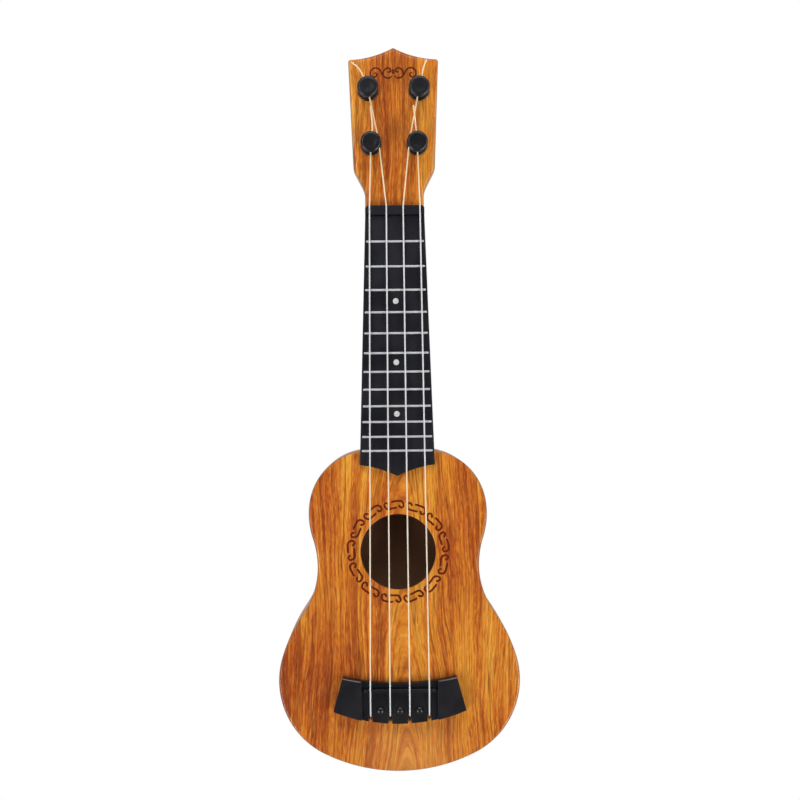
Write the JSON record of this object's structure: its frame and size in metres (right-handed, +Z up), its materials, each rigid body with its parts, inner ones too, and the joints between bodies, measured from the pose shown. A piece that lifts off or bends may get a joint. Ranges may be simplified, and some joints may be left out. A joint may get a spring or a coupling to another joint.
{
  "type": "toy ukulele",
  "caption": "Small plastic toy ukulele with a waisted hollow body, fretted neck, bridge, nylon strings and turning friction pegs.",
  "frame": {"origin": "on the ground plane under the middle of the instrument as it stands upright, tail down", "axes": "+Z up the neck from the tail to the tip of the head, +X across the body to the viewer's right, strings and soundboard face -Y"},
  "size_m": [0.1434, 0.065, 0.4312],
  "materials": {
    "printed_shell": "glossy plastic with a printed wood grain",
    "brown_shell": "glossy brown plastic with a faint printed grain",
    "board_plastic": "satin black moulded plastic",
    "fret_plastic": "satin light grey",
    "dot_plastic": "satin white",
    "bridge_plastic": "satin black moulded plastic",
    "pin_plastic": "glossy black",
    "nylon": "smooth cream nylon",
    "peg_plastic": "satin black moulded plastic",
    "screw_steel": "zinc-plated steel",
    "washer_rubber": "matt black rubber"
  },
  "bodies": {
    "instrument": {"front_shell": "printed_shell", "back_shell": "brown_shell", "fretboard": "board_plastic", "nut": "board_plastic", "frets": "fret_plastic", "fret_markers": "dot_plastic", "bridge": "bridge_plastic", "saddle": "bridge_plastic", "bridge_pins": "pin_plastic", "shell_screws": "screw_steel", "peg_washers": "washer_rubber", "string_1": "nylon", "string_2": "nylon", "string_3": "nylon", "string_4": "nylon"},
    "tuner_1": {"peg_1": "peg_plastic", "peg_key_1": "peg_plastic", "peg_screw_1": "screw_steel", "string_tail_1": "nylon"},
    "tuner_2": {"peg_2": "peg_plastic", "peg_key_2": "peg_plastic", "peg_screw_2": "screw_steel", "string_tail_2": "nylon"},
    "tuner_3": {"peg_3": "peg_plastic", "peg_key_3": "peg_plastic", "peg_screw_3": "screw_steel", "string_tail_3": "nylon"},
    "tuner_4": {"peg_4": "peg_plastic", "peg_key_4": "peg_plastic", "peg_screw_4": "screw_steel", "string_tail_4": "nylon"}
  },
  "joints": [
    {"name": "tuner_1_turn", "type": "hinge", "parent": "instrument", "child": "tuner_1", "pos_m": [-0.0137, -0.014, 0.3727], "axis": [0, -1, 0], "continuous": true},
    {"name": "tuner_2_turn", "type": "hinge", "parent": "instrument", "child": "tuner_2", "pos_m": [-0.0152, -0.014, 0.4052], "axis": [0, -1, 0], "continuous": true},
    {"name": "tuner_3_turn", "type": "hinge", "parent": "instrument", "child": "tuner_3", "pos_m": [0.0152, -0.014, 0.4052], "axis": [0, -1, 0], "continuous": true},
    {"name": "tuner_4_turn", "type": "hinge", "parent": "instrument", "child": "tuner_4", "pos_m": [0.0137, -0.014, 0.3727], "axis": [0, -1, 0], "continuous": true}
  ]
}
